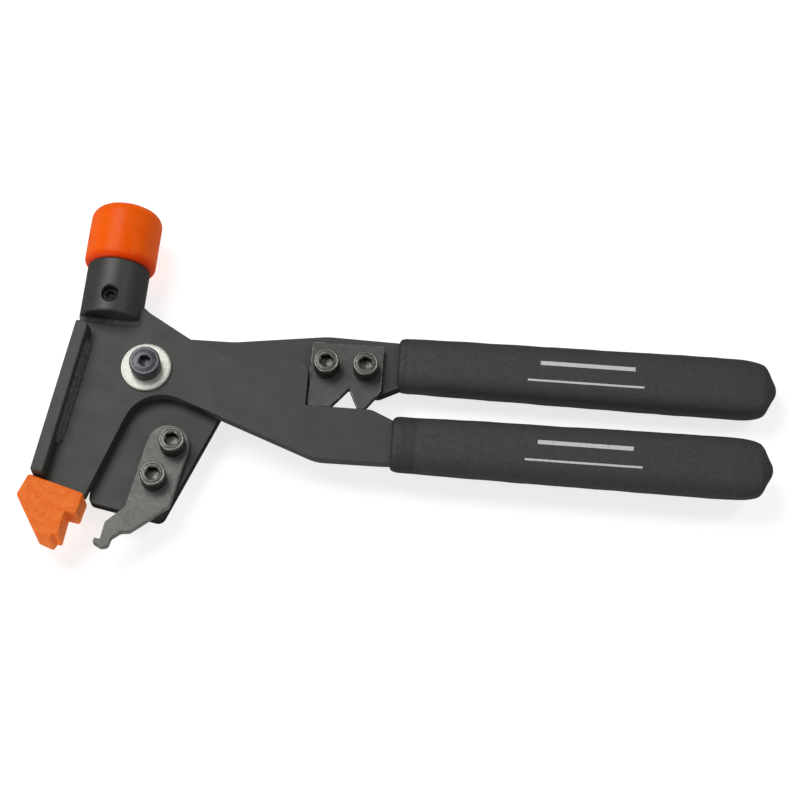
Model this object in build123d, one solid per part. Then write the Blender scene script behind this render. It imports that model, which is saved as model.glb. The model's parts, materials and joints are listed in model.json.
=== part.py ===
from build123d import *
import os
from math import cos, radians, sin, sqrt

# Wheel weight pliers with a hammer head. Two crossed flat steel levers turn on a shoulder screw.
# The front lever carries the hammer socket with its soft face, the edge bar and the nose foot.
# The rear lever carries the hook blade at its jaw and the notched cutter blade on its arm.
# Millimetres, +Z up, the tool lying on its back with the handles towards +X. Everything is drawn
# about the pivot, with the front lever's upper face at height 0. At the end all of it is moved
# together, so that the closed tool's box is centred on X and Y and stands on Z = 0.

# ---- driving dimensions -------------------------------------------------------------------------
PLATE = 4.76          # both levers, 3/16 in plate
LEVER_GAP = 0.55      # between the levers at the pivot
WASHER_THRUST = 0.5   # thrust washer in that gap; the rest is running clearance
BLADE = 3.18          # hook and cutter blades, 1/8 in tool steel
BLADE_ROUND = 0.2     # broken edges of the cutter blade
EDGE_ROUND = 0.35     # broken edges of the plates
FIT = 0.03            # radial clearance of a shank in its hole
CONTACT = 0.02        # between faces that touch

FRONT_TOP = 0.0
FRONT_MID = FRONT_TOP - PLATE / 2
FRONT_BACK = FRONT_TOP - PLATE
REAR_TOP = FRONT_BACK - LEVER_GAP
REAR_MID = REAR_TOP - PLATE / 2
REAR_BACK = REAR_TOP - PLATE

# pivot: 5/16 in shoulder screw, washers and a nylon insert lock nut
SHOULDER_D = 7.94
PIVOT_HEAD_D = 11.5
PIVOT_HEAD_H = 6.0
PIVOT_HEAD_ROUND = 0.6
PIVOT_HEX = 3.97
PIVOT_HEX_DEPTH = 3.0
PIVOT_THREAD_D = 6.35
FRONT_WASHER = (18.6, 1.2)    # outer diameter, thickness
FRONT_WASHER_ROUND = 0.5
REAR_WASHER = (16.0, 1.5)
THRUST_WASHER_D = 19.0
NUT_FLATS = 11.1
NUT_H = 4.2
NUT_COLLAR_H = 1.8
NUT_COLLAR_D = 10.5
NUT_INSERT_D = 8.9
RUNNING_GAP = 0.05

# blade screws: 1/4 in socket head cap screws
SCREW_D = 6.35
SCREW_HEAD_D = 9.6
SCREW_HEAD_H = 6.35
SCREW_HEX = 4.76
SCREW_HEX_DEPTH = 3.2
SCREW_CHAMFER = 0.4
SCREW_L = 7.54                # to 0.4 mm short of the rear lever's back
BLADE_HOLE_D = 6.75
HOOK_SCREWS = {"hook_screw_upper": (13.0, -28.9), "hook_screw_lower": (7.6, -42.7)}
CUTTER_SCREWS = {"cutter_screw_left": (66.8, 6.5), "cutter_screw_right": (81.4, 6.5)}

# hammer: turned socket seated on the front lever, leaning a little towards the handles
HAMMER_BASE = (-16.0, 18.4)
HAMMER_LEAN = 2.0
SOCKET_D = 23.5
SOCKET_L = 21.8
SOCKET_BORE_DEPTH = 18.5
SOCKET_CHAMFER = 0.5
FACE_D = 27.1
FACE_L = 23.5
FACE_ROUND = 4.2
FACE_LIP = 2.6
STEM_D = 14.0
STEM_L = 17.5
HORN = 6.8            # the lever's horn, up the side of the socket
SET_SCREW_Y = 7.0     # along the hammer, from the socket's lower end
SET_SCREW_D = 6.35
SET_SCREW_HEX = 3.18
SET_SCREW_SUNK = 2.6
SET_SCREW_HEX_DEPTH = 1.4
SET_SCREW_MOUTH = 0.6 # countersink of its hole

# edge bar: 3/4 by 3/16 in flat bar on edge along the front jaw, centred on the front lever
BAR_W = 19.05
BAR_T = 4.76
BAR_TOP = (-22.6, 14.0)      # ends of the bar's inner face
BAR_FOOT = (-31.8, -46.3)
BAR_ROUND = 0.6

# nose foot: 1/2 in nylon block, slotted over a tongue of the front lever
FOOT_T = 12.7
FOOT_LINE_X = -16.4          # right end of the foot's straight upper edge, and its slope
FOOT_LINE_Y = -52.2
FOOT_SLOPE = 16.0
TONGUE_W = 9.0
TONGUE_L = 12.0
TONGUE_AT = 10.3             # from the right end of the upper edge to the tongue's centre line
FOOT_SCREW_D = 3.0
FOOT_SCREW_HEAD_D = 5.4
FOOT_SCREW_DEPTHS = {"foot_screw_upper": 3.2, "foot_screw_lower": 9.0}
FOOT_SCREW_L = 9.8
FOOT_SCREW_HEX = 2.0
FOOT_SCREW_HEX_DEPTH = 1.4
FOOT_ROUND = 0.6

# grips: thick dipped vinyl on the tangs
GRIP_START = 93.2
UPPER_GRIP_L = 142.2
LOWER_GRIP_L = 141.0
GRIP_HALVES = (10.2, 10.5, 11.5, 11.2)   # half widths: the mouth, near it, widest, start of the nose
GRIP_NECK = 20.0
GRIP_BELLY = 112.0
GRIP_NOSE_L = 5.0
GRIP_TIP_HALF = 0.6
GRIP_T = 13.0
GRIP_EDGE = 5.0
GRIP_LIP = 1.0               # rounding round the grip's mouth
LOWER_GRIP_Y = -22.4
UPPER_GRIP_Y = 11.3
TANG_END = 224.0
TANG_HALF = 7.7

WELD_LEG = 2.6
BAR_WELD = (10.0, -33.0)     # heights along the bar where the bead starts and ends
SOCKET_WELD_W = 19.7


# ---- helpers ------------------------------------------------------------------------------------
def outline(corners):
    """The face inside a closed run of corners, each (x, y, radius)."""
    points = [(x, y) for x, y, radius in corners]
    radii = [radius for x, y, radius in corners]
    return make_face(FilletPolyline(*points, radius=radii, close=True))


def slab(corners, top, thickness, rounding):
    """A flat plate below the given height, with its upper and lower edges rounded."""
    body = Pos(0, 0, top - thickness) * extrude(outline(corners), thickness)
    if rounding:
        rims = body.faces().filter_by(Axis.Z).edges()
        body = fillet(rims, rounding)
    return body


def drill(body, place, diameter):
    """The body with a round hole right through it along Z."""
    x, y = place
    return body - Pos(x, y, 0) * Cylinder(diameter / 2, 100)


def disc(place, diameter, bottom, height):
    """An upright cylinder that stands on the given height."""
    x, y = place
    return Pos(x, y, bottom + height / 2) * Cylinder(diameter / 2, height)


def hex_prism(place, flats, bottom, height):
    """An upright hexagon that stands on the given height."""
    x, y = place
    face = RegularPolygon(flats / sqrt(3), 6)
    return Pos(x, y, bottom) * extrude(face, height)


def along_hammer(body):
    """Puts a piece drawn along +Y from the origin on the hammer's axis."""
    x, y = HAMMER_BASE
    return Pos(x, y, FRONT_MID) * Rot(0, 0, -HAMMER_LEAN) * body


def hammer_point(across, along):
    """The x, y of a point given across and along the hammer's axis."""
    lean = radians(HAMMER_LEAN)
    x, y = HAMMER_BASE
    return (x + across * cos(lean) + along * sin(lean), y - across * sin(lean) + along * cos(lean))


def foot_point(back, down):
    """The x, y of a point given along the foot's upper edge from its right end, and down from it."""
    slope = radians(FOOT_SLOPE)
    x = FOOT_LINE_X - back * cos(slope) - down * sin(slope)
    y = FOOT_LINE_Y + back * sin(slope) - down * cos(slope)
    return (x, y)


def bar_line(y):
    """The X of the edge bar's inner face at a height Y."""
    top_x, top_y = BAR_TOP
    foot_x, foot_y = BAR_FOOT
    return top_x + (y - top_y) * (top_x - foot_x) / (top_y - foot_y)


def washer(diameter, hole, bottom, thickness):
    """A flat washer about the pivot."""
    ring = disc((0, 0), diameter, bottom, thickness)
    return drill(ring, (0, 0), hole)


def cap_screw(place, seat, length):
    """Socket head cap screw whose head sits on the height seat."""
    head = disc(place, SCREW_HEAD_D, seat, SCREW_HEAD_H)
    head = chamfer(head.edges().group_by(Axis.Z)[-1], SCREW_CHAMFER)
    shank = disc(place, SCREW_D, seat - length, length)
    recess_low = seat + SCREW_HEAD_H - SCREW_HEX_DEPTH
    return head + shank - hex_prism(place, SCREW_HEX, recess_low, SCREW_HEX_DEPTH)


# ---- front lever --------------------------------------------------------------------------------
def front_lever():
    """Left jaw, hammer seat, stop shoulder, anvil edge and the lower handle's tang."""
    seat_left = hammer_point(-SOCKET_D / 2 + SOCKET_CHAMFER, -CONTACT)
    seat_right = hammer_point(SOCKET_D / 2 + CONTACT, -CONTACT)
    horn = hammer_point(SOCKET_D / 2 + CONTACT, HORN)
    heel = foot_point(0.3, -0.1)
    shin_y = foot_point(16.0, -0.1)[1]
    corners = [
        (seat_left[0], seat_left[1], 0.5),
        (seat_right[0], seat_right[1], 0),
        (horn[0], horn[1], 0.3),
        (-1.4, 22.5, 3),
        (15.2, 12.8, 10),
        (41.0, 3.2, 7),
        (51.5, 8.0, 4),
        (60.3, 7.6, 5),
        (60.3, -10.2, 0.6),
        (84.9, -10.2, 6),
        (95.0, LOWER_GRIP_Y + TANG_HALF, 12),
        (TANG_END, LOWER_GRIP_Y + TANG_HALF, 6.5),
        (TANG_END, LOWER_GRIP_Y - TANG_HALF, 6.5),
        (102.0, LOWER_GRIP_Y - TANG_HALF, 10),
        (90.0, -30.8, 10),
        (66.0, -31.0, 16),
        (-0.6, -5.9, 14.5),
        (heel[0], heel[1], 0.8),
        (bar_line(shin_y), shin_y, 0.5),
        (bar_line(BAR_TOP[1] + 0.4), BAR_TOP[1] + 0.4, 0.3),
        (seat_left[0], BAR_TOP[1] + 0.8, 0.5),
    ]
    plate = slab(corners, FRONT_TOP, PLATE, 0)
    plate += tongue(0)
    plate = drill(plate, (0, 0), SHOULDER_D + 2 * FIT)
    for depth in FOOT_SCREW_DEPTHS.values():
        plate = drill(plate, foot_point(TONGUE_AT, depth), FOOT_SCREW_D + 2 * FIT)
    return plate


def tongue(allowance):
    """The front lever's tongue in the foot, or its slot when an allowance is given."""
    x, y = foot_point(TONGUE_AT, TONGUE_L / 2 - 0.5)
    block = Box(TONGUE_W + 2 * allowance, TONGUE_L + 1 + 2 * allowance, PLATE + 2 * allowance)
    return Pos(x, y, FRONT_MID) * Rot(0, 0, -FOOT_SLOPE) * block


def edge_bar():
    """The flat bar on edge along the outer side of the front jaw."""
    top = Vector(*BAR_TOP)
    foot = Vector(*BAR_FOOT)
    run = top - foot
    outward = Vector(-run.Y, run.X).normalized() * BAR_T
    corners = [
        (foot.X, foot.Y, 0),
        (top.X, top.Y, 0),
        (top.X + outward.X, top.Y + outward.Y, 0),
        (foot.X + outward.X, foot.Y + outward.Y, 0),
    ]
    bar = slab(corners, FRONT_MID + BAR_W / 2, BAR_W, 0)
    return fillet(bar.edges(), BAR_ROUND)


def nose_foot():
    """Nylon foot that rests on the wheel rim."""
    top_left = foot_point(21.8, 0)
    corners = [
        (top_left[0], top_left[1], 1.0),
        (-40.7, -54.3, 1.2),
        (-31.9, -68.9, 1.2),
        (-26.4, -70.9, 1.0),
        (-25.2, -68.6, 0.3),
        (-23.6, -69.3, 0.8),
        (-22.3, -59.5, 0.4),
        (-18.2, -60.3, 1.0),
        (FOOT_LINE_X, FOOT_LINE_Y, 1.0),
    ]
    block = slab(corners, FRONT_MID + FOOT_T / 2, FOOT_T, FOOT_ROUND)
    block -= tongue(FIT)
    for name in FOOT_SCREW_DEPTHS:
        block -= foot_screw(name, FIT)
    return block


def foot_screw(name, allowance):
    """Countersunk screw from the foot's back, or its hole when an allowance is given."""
    place = foot_point(TONGUE_AT, FOOT_SCREW_DEPTHS[name])
    back = FRONT_MID - FOOT_T / 2
    shank_d = FOOT_SCREW_D + 2 * allowance
    head_d = FOOT_SCREW_HEAD_D + 2 * allowance
    head_h = (head_d - shank_d) / 2
    shank = disc(place, shank_d, back, FOOT_SCREW_L + allowance)
    cone = Cone(head_d / 2, shank_d / 2, head_h)
    head = Pos(place[0], place[1], back + head_h / 2) * cone
    screw = shank + head
    if not allowance:
        screw -= hex_prism(place, FOOT_SCREW_HEX, back, FOOT_SCREW_HEX_DEPTH)
    return screw


def bar_weld(face, side):
    """Bead in the corner of the edge bar and the lever. side is +1 on the front, -1 on the back."""
    start, end = BAR_WELD
    section = Polyline((0, 0), (WELD_LEG, 0), (0, side * WELD_LEG), close=True)
    along_bar = Vector(bar_line(start) - bar_line(end), start - end)
    bead = extrude(Plane.XZ * make_face(section), along_bar.length / 2, both=True)
    middle_y = (start + end) / 2
    lean = along_bar.get_angle(Vector(0, 1))
    return Pos(bar_line(middle_y), middle_y, face) * Rot(0, 0, -lean) * bead


# ---- hammer -------------------------------------------------------------------------------------
def turned(diameter, start, length):
    """A cylinder along +Y from the height start."""
    return Pos(0, start + length / 2, 0) * Rot(-90, 0, 0) * Cylinder(diameter / 2, length)


def set_screw_hole(diameter):
    """A hole from the socket's upper side down to the stem."""
    return Pos(0, SET_SCREW_Y, SOCKET_D / 2) * Cylinder(diameter / 2, SOCKET_D - STEM_D)


def hammer_socket():
    """Turned steel socket, seated and welded on the front lever."""
    socket = turned(SOCKET_D, 0, SOCKET_L)
    socket = chamfer(socket.edges(), SOCKET_CHAMFER)
    socket -= turned(STEM_D + 2 * FIT, SOCKET_L - SOCKET_BORE_DEPTH, SOCKET_BORE_DEPTH + 1)
    socket -= set_screw_hole(SET_SCREW_D + 2 * FIT)
    rim = Cone(SET_SCREW_D / 2, SET_SCREW_D / 2 + SET_SCREW_MOUTH, SET_SCREW_MOUTH)
    socket -= Pos(0, SET_SCREW_Y, (SOCKET_D - SET_SCREW_MOUTH) / 2) * rim
    return along_hammer(socket)


def hammer_face():
    """Replaceable soft striking face, with the stem that the socket holds."""
    head = turned(FACE_D, SOCKET_L, FACE_L)
    head = fillet(head.edges().sort_by(Axis.Y)[-1], FACE_ROUND)
    head = fillet(head.edges().sort_by(Axis.Y)[0], FACE_LIP)
    return along_hammer(head + turned(STEM_D, SOCKET_L - STEM_L, STEM_L))


def face_set_screw():
    """Headless hexagon socket screw that holds the stem."""
    low = STEM_D / 2 + CONTACT
    length = SOCKET_D / 2 - SET_SCREW_SUNK - low
    screw = disc((0, SET_SCREW_Y), SET_SCREW_D, low, length)
    recess_low = low + length - SET_SCREW_HEX_DEPTH
    screw -= hex_prism((0, SET_SCREW_Y), SET_SCREW_HEX, recess_low, SET_SCREW_HEX_DEPTH)
    return along_hammer(screw)


def socket_weld(face, side):
    """Bead between the socket's lower end and the lever. side is +1 on the front, -1 on the back."""
    section = Polyline((0, 0), (-WELD_LEG, 0), (0, side * WELD_LEG), close=True)
    bead = extrude(Plane.YZ * make_face(section), SOCKET_WELD_W / 2, both=True)
    return along_hammer(Pos(0, 0, face - FRONT_MID) * bead)


# ---- rear lever ---------------------------------------------------------------------------------
def rear_lever():
    """Right jaw, arm under the cutter blade and the upper handle's tang."""
    corners = [
        (-14.8, 14.9, 14.5),
        (31.0, 15.2, 30),
        (66.0, 20.1, 30),
        (93.0, 19.5, 12),
        (TANG_END, UPPER_GRIP_Y + TANG_HALF, 6.5),
        (TANG_END, UPPER_GRIP_Y - TANG_HALF, 6.5),
        (102.0, UPPER_GRIP_Y - TANG_HALF, 10),
        (94.5, 1.4, 6),
        (87.0, -2.5, 3),
        (83.8, -2.5, 1),
        (82.4, 1.2, 1),
        (72.4, 1.2, 1),
        (66.0, -8.0, 1),
        (31.9, -8.0, 8),
        (11.8, -57.8, 3),
        (-15.7, -52.5, 2.5),
    ]
    plate = slab(corners, REAR_TOP, PLATE, EDGE_ROUND)
    plate = drill(plate, (0, 0), SHOULDER_D + 2 * RUNNING_GAP)
    for place in [*HOOK_SCREWS.values(), *CUTTER_SCREWS.values()]:
        plate = drill(plate, place, SCREW_D + 2 * FIT)
    return plate


def hook_blade():
    """Hook that pulls the weight's clip off the rim: a round-ended strip with a claw."""
    corners = [
        (4.9, -19.8, 7.8),
        (20.3, -22.7, 7.8),
        (14.3, -52.8, 1.5),
        (1.0, -63.6, 2.5),
        (-2.2, -63.9, 2.5),
        (-5.4, -66.4, 1.5),
        (-6.2, -69.7, 1.6),
        (-8.8, -70.3, 1.6),
        (-12.0, -68.6, 1.0),
        (-11.4, -66.6, 0.5),
        (-9.4, -67.2, 0.6),
        (-8.4, -60.5, 1.5),
        (-1.8, -54.1, 4),
    ]
    blade = slab(corners, REAR_TOP + BLADE, BLADE, EDGE_ROUND)
    for place in HOOK_SCREWS.values():
        blade = drill(blade, place, BLADE_HOLE_D)
    return blade


def cutter_blade():
    """Square blade with a skew V notch, for cutting strip weights on the anvil edge."""
    corners = [
        (60.8, 16.2, 0.8),
        (87.6, 16.2, 1.2),
        (87.6, -1.7, 1.5),
        (82.0, -9.3, 1.0),
        (79.6, -9.3, 0.4),
        (75.8, -1.4, 0.3),
        (69.3, -9.3, 0.3),
        (60.8, -9.3, 0.5),
    ]
    blade = slab(corners, REAR_TOP + BLADE, BLADE, BLADE_ROUND)
    for place in CUTTER_SCREWS.values():
        blade = drill(blade, place, BLADE_HOLE_D)
    return blade


def blade_screw(place):
    """Cap screw through a blade into the rear lever."""
    return cap_screw(place, REAR_TOP + BLADE, SCREW_L)


# ---- pivot --------------------------------------------------------------------------------------
def pivot_screw():
    """Shoulder screw: head, shoulder through both levers, thread for the lock nut."""
    seat = FRONT_TOP + FRONT_WASHER[1]
    head = disc((0, 0), PIVOT_HEAD_D, seat, PIVOT_HEAD_H)
    head = fillet(head.edges().group_by(Axis.Z)[-1], PIVOT_HEAD_ROUND)
    shoulder_end = REAR_BACK - RUNNING_GAP
    shoulder = disc((0, 0), SHOULDER_D, shoulder_end, seat - shoulder_end)
    thread_l = REAR_WASHER[1] + NUT_H + NUT_COLLAR_H
    thread = disc((0, 0), PIVOT_THREAD_D, shoulder_end - thread_l, thread_l)
    recess_low = seat + PIVOT_HEAD_H - PIVOT_HEX_DEPTH
    recess = hex_prism((0, 0), PIVOT_HEX, recess_low, PIVOT_HEX_DEPTH)
    return head + shoulder + thread - recess


def pivot_washer_front():
    ring = washer(FRONT_WASHER[0], SHOULDER_D + 2 * FIT, FRONT_TOP, FRONT_WASHER[1])
    outer_rim = ring.edges().group_by(Axis.Z)[-1].sort_by(SortBy.RADIUS)[-1]
    return fillet(outer_rim, FRONT_WASHER_ROUND)


def thrust_washer():
    return washer(THRUST_WASHER_D, SHOULDER_D + 2 * FIT, FRONT_BACK - WASHER_THRUST, WASHER_THRUST)


def pivot_washer_rear():
    bottom = REAR_BACK - RUNNING_GAP - REAR_WASHER[1]
    return washer(REAR_WASHER[0], PIVOT_THREAD_D + 2 * FIT, bottom, REAR_WASHER[1])


def pivot_nut():
    """Hexagon body of the lock nut with the thin wall round its nylon ring."""
    top = REAR_BACK - RUNNING_GAP - REAR_WASHER[1]
    body = hex_prism((0, 0), NUT_FLATS, top - NUT_H, NUT_H)
    body += disc((0, 0), NUT_COLLAR_D, top - NUT_H - NUT_COLLAR_H, NUT_COLLAR_H)
    body -= disc((0, 0), NUT_INSERT_D, top - NUT_H - NUT_COLLAR_H, NUT_COLLAR_H)
    return drill(body, (0, 0), PIVOT_THREAD_D + 2 * FIT)


def nut_insert():
    """Nylon ring in the lock nut's collar."""
    bottom = REAR_BACK - RUNNING_GAP - REAR_WASHER[1] - NUT_H - NUT_COLLAR_H
    return washer(NUT_INSERT_D, PIVOT_THREAD_D + 2 * FIT, bottom, NUT_COLLAR_H)


# ---- grips --------------------------------------------------------------------------------------
def grip(middle_y, middle_z, length):
    """Vinyl grip: widens a little towards a blunt nose, closed over the end of the tang."""
    mouth, neck, belly, nose = GRIP_HALVES
    side = [
        (-2 * GRIP_EDGE, mouth, 0),
        (GRIP_NECK, neck, 60),
        (GRIP_BELLY, belly, 60),
        (length - GRIP_NOSE_L, nose, 6),
        (length, GRIP_TIP_HALF, 6),
    ]
    corners = side + [(x, -y, radius) for x, y, radius in reversed(side[:-1])]
    body = extrude(outline(corners), GRIP_T / 2, both=True)
    body = fillet(body.faces().filter_by(Axis.Z).edges(), GRIP_EDGE)
    body = split(body, Plane.YZ, keep=Keep.TOP)
    body = fillet(body.faces().sort_by(Axis.X)[0].edges(), GRIP_LIP)
    return Pos(GRIP_START, middle_y, middle_z) * body


# ---- the whole tool -----------------------------------------------------------------------------
def all_parts():
    front = front_lever()
    rear = rear_lever()
    parts = {
        "front_lever": front,
        "edge_bar": edge_bar(),
        "bar_weld_front": bar_weld(FRONT_TOP, 1),
        "bar_weld_rear": bar_weld(FRONT_BACK, -1),
        "hammer_socket": hammer_socket(),
        "socket_weld_front": socket_weld(FRONT_TOP, 1),
        "socket_weld_rear": socket_weld(FRONT_BACK, -1),
        "hammer_face": hammer_face(),
        "face_set_screw": face_set_screw(),
        "nose_foot": nose_foot(),
        "lower_grip": grip(LOWER_GRIP_Y, FRONT_MID, LOWER_GRIP_L) - front,
        "pivot_screw": pivot_screw(),
        "pivot_washer_front": pivot_washer_front(),
        "thrust_washer": thrust_washer(),
        "pivot_washer_rear": pivot_washer_rear(),
        "pivot_nut": pivot_nut(),
        "nut_insert": nut_insert(),
        "rear_lever": rear,
        "hook_blade": hook_blade(),
        "cutter_blade": cutter_blade(),
        "upper_grip": grip(UPPER_GRIP_Y, REAR_MID, UPPER_GRIP_L) - rear,
    }
    for name in FOOT_SCREW_DEPTHS:
        parts[name] = foot_screw(name, 0)
    for name, place in [*HOOK_SCREWS.items(), *CUTTER_SCREWS.items()]:
        parts[name] = blade_screw(place)
    return parts


def main():
    os.makedirs("parts", exist_ok=True)
    parts = all_parts()
    box = Compound(list(parts.values())).bounding_box()
    middle = box.center()
    stand = Pos(-middle.X, -middle.Y, -box.min.Z)
    for name, part in parts.items():
        export_step(stand * part, f"parts/{name}.step")
    print("size", box.size, "pivot at", stand.position)


main()
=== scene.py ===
import json
from math import cos, pi, radians, sin, sqrt, tau

import bmesh
import bpy
from mathutils import Matrix, Vector, noise


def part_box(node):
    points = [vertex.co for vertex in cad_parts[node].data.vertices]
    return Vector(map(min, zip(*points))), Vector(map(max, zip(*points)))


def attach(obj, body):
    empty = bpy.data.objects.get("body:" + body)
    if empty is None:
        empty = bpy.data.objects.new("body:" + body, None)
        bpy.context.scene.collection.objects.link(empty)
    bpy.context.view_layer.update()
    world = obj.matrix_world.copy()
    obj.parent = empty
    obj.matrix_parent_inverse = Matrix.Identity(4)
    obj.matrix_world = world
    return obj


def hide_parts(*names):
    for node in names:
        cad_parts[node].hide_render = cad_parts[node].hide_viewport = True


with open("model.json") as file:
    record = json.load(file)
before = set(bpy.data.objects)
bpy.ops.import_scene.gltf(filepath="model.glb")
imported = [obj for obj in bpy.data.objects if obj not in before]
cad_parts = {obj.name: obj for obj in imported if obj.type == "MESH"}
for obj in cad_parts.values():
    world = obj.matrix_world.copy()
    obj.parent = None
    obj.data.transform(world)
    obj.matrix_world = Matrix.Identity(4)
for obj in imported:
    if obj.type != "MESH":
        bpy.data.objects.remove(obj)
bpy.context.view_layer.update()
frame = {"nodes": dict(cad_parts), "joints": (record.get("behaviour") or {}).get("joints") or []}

# New pieces are drawn in millimetres about the pivot, with the front lever's face at height 0.
MM = 0.001
FRONT = "front_assembly"
REAR = "rear_assembly"
pivot = Vector(frame["joints"][0]["pos_m"])
pivot.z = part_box("front_lever")[1].z
DRAWING = Matrix.Translation(pivot) @ Matrix.Scale(MM, 4)


def span(node):
    """Lowest and highest corner of a CAD node, in millimetres about the pivot."""
    low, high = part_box(node)
    return (low - pivot) / MM, (high - pivot) / MM


def middle_of(node):
    low, high = span(node)
    return (low + high) / 2


# ---- camera -------------------------------------------------------------------------------------
CAMERA_TILT = radians(22.0)      # off the levers' face, towards the lower handle
CAMERA_TURN = radians(4.4)       # about the levers' face
CAMERA_DISTANCE = 0.880
CAMERA_AIM = Vector((95.1, -5.6, 0.0))
VIEW_WIDTH = 0.296               # what the picture takes in at the aim
SENSOR = 36.0
aim = DRAWING @ CAMERA_AIM


def make_camera():
    data = bpy.data.cameras.new("camera")
    data.sensor_width = SENSOR
    data.lens = SENSOR * CAMERA_DISTANCE / VIEW_WIDTH
    data.clip_start = 0.01
    camera = bpy.data.objects.new("camera", data)
    bpy.context.scene.collection.objects.link(camera)
    right = Vector((cos(CAMERA_TURN), sin(CAMERA_TURN), 0))
    down = Vector((sin(CAMERA_TURN), -cos(CAMERA_TURN), 0))
    back = down * sin(CAMERA_TILT) + Vector((0, 0, cos(CAMERA_TILT)))
    up = back.cross(right)
    turn = Matrix((right, up, back)).transposed().to_4x4()
    camera.matrix_world = Matrix.Translation(aim + back * CAMERA_DISTANCE) @ turn
    bpy.context.scene.camera = camera


make_camera()


# ---- materials ----------------------------------------------------------------------------------
MIX_FIRST, MIX_SECOND, MIX_RESULT = 6, 7, 2      # the Mix node's sockets for colours


class Finish:
    """One procedural material, built up node by node."""

    def __init__(self, name, roughness, metallic=0.0, specular=0.5):
        self.slot = name
        self.material = bpy.data.materials.new(name + "_finish")
        self.material.use_nodes = True
        self.tree = self.material.node_tree
        self.shader = self.tree.nodes["Principled BSDF"]
        self.shader.inputs["Roughness"].default_value = roughness
        self.shader.inputs["Metallic"].default_value = metallic
        self.shader.inputs["Specular IOR Level"].default_value = specular
        self.place = self.add("ShaderNodeTexCoord").outputs["Object"]
        self.normal = None

    def add(self, kind):
        return self.tree.nodes.new(kind)

    def link(self, source, target):
        self.tree.links.new(source, target)

    def noise(self, size, detail=3.0, rough=0.5, stretch=(1, 1, 1)):
        """Noise with lumps about size millimetres across, longer along the stretched axes."""
        mapping = self.add("ShaderNodeMapping")
        mapping.inputs["Scale"].default_value = [1 / (size * MM * s) for s in stretch]
        texture = self.add("ShaderNodeTexNoise")
        texture.inputs["Scale"].default_value = 1.0
        texture.inputs["Detail"].default_value = detail
        texture.inputs["Roughness"].default_value = rough
        self.link(self.place, mapping.inputs["Vector"])
        self.link(mapping.outputs["Vector"], texture.inputs["Vector"])
        return texture.outputs["Fac"]

    def ramp(self, value, low, high, first=0.0, last=1.0):
        """The value's stretch from low to high, spread over first to last."""
        spread = self.add("ShaderNodeMapRange")
        spread.interpolation_type = "SMOOTHSTEP"
        spread.inputs["From Min"].default_value = low
        spread.inputs["From Max"].default_value = high
        spread.inputs["To Min"].default_value = first
        spread.inputs["To Max"].default_value = last
        self.link(value, spread.inputs["Value"])
        return spread.outputs["Result"]

    def flatness(self, low=0.5, high=0.8):
        """1 on a plate's faces, 0 on its upright walls, in between on its rounded edges: the mask
        that puts painted light and painted shade on walls and edges.
        """
        split = self.add("ShaderNodeSeparateXYZ")
        upright = self.add("ShaderNodeMath")
        upright.operation = "ABSOLUTE"
        self.link(self.add("ShaderNodeTexCoord").outputs["Normal"], split.inputs["Vector"])
        self.link(split.outputs["Z"], upright.inputs[0])
        return self.ramp(upright.outputs[0], low, high)

    def mix(self, factor, first, second):
        """A colour between two, each a colour or another node's output."""
        blend = self.add("ShaderNodeMix")
        blend.data_type = "RGBA"
        self.link(factor, blend.inputs["Factor"])
        for number, colour in ((MIX_FIRST, first), (MIX_SECOND, second)):
            if isinstance(colour, tuple):
                blend.inputs[number].default_value = (*colour, 1.0)
            else:
                self.link(colour, blend.inputs[number])
        return blend.outputs[MIX_RESULT]

    def colour(self, source):
        self.link(source, self.shader.inputs["Base Color"])

    def roughness(self, source):
        self.link(source, self.shader.inputs["Roughness"])

    def metallic(self, source):
        self.link(source, self.shader.inputs["Metallic"])

    def bump(self, height, depth):
        """Relief of that depth in millimetres, on top of any earlier one."""
        relief = self.add("ShaderNodeBump")
        relief.inputs["Distance"].default_value = depth * MM
        self.link(height, relief.inputs["Height"])
        if self.normal:
            self.link(self.normal, relief.inputs["Normal"])
        self.normal = relief.outputs["Normal"]
        self.link(self.normal, self.shader.inputs["Normal"])


def times(share, colour):
    """A colour that many times as bright."""
    return tuple(share * part for part in colour)


def paint(side_shading):
    """Satin dark grey finish on the levers. Their upright walls get a colour of their own, painted
    side shading that each lever is given: painted light on the front lever, painted shade on the
    rear one.
    """
    finish = Finish("lever_paint", 0.5, specular=0.3)
    cloud = finish.ramp(finish.noise(30, 2), 0.3, 0.7)
    grain = finish.ramp(finish.noise(0.6, 3), 0.3, 0.7)
    tone = finish.mix(cloud, (0.0435, 0.0470, 0.0415), (0.0475, 0.0515, 0.0455))
    tone = finish.mix(grain, tone, (0.050, 0.0540, 0.048))
    flat = finish.flatness()
    # Painted side shading: the walls take the side colour by how upright they face.
    finish.colour(finish.mix(flat, side_shading, tone))
    finish.link(finish.ramp(flat, 0, 1, 0.06, 0.3), finish.shader.inputs["Specular IOR Level"])
    finish.roughness(finish.ramp(finish.noise(8, 4), 0.3, 0.7, 0.46, 0.54))
    finish.bump(finish.noise(0.5, 4), 0.010)
    return finish


def worn_paint():
    """The levers' broken edges, where bare steel just starts to show."""
    finish = Finish("lever_edge", 0.45, specular=0.3)
    wear = finish.ramp(finish.noise(3.5, 4), 0.50, 0.68)
    finish.colour(finish.mix(wear, (0.048, 0.051, 0.047), (0.095, 0.098, 0.092)))
    finish.metallic(finish.ramp(wear, 0.2, 1.0, 0.0, 0.4))
    finish.bump(finish.noise(0.8, 3), 0.02)
    return finish


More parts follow.
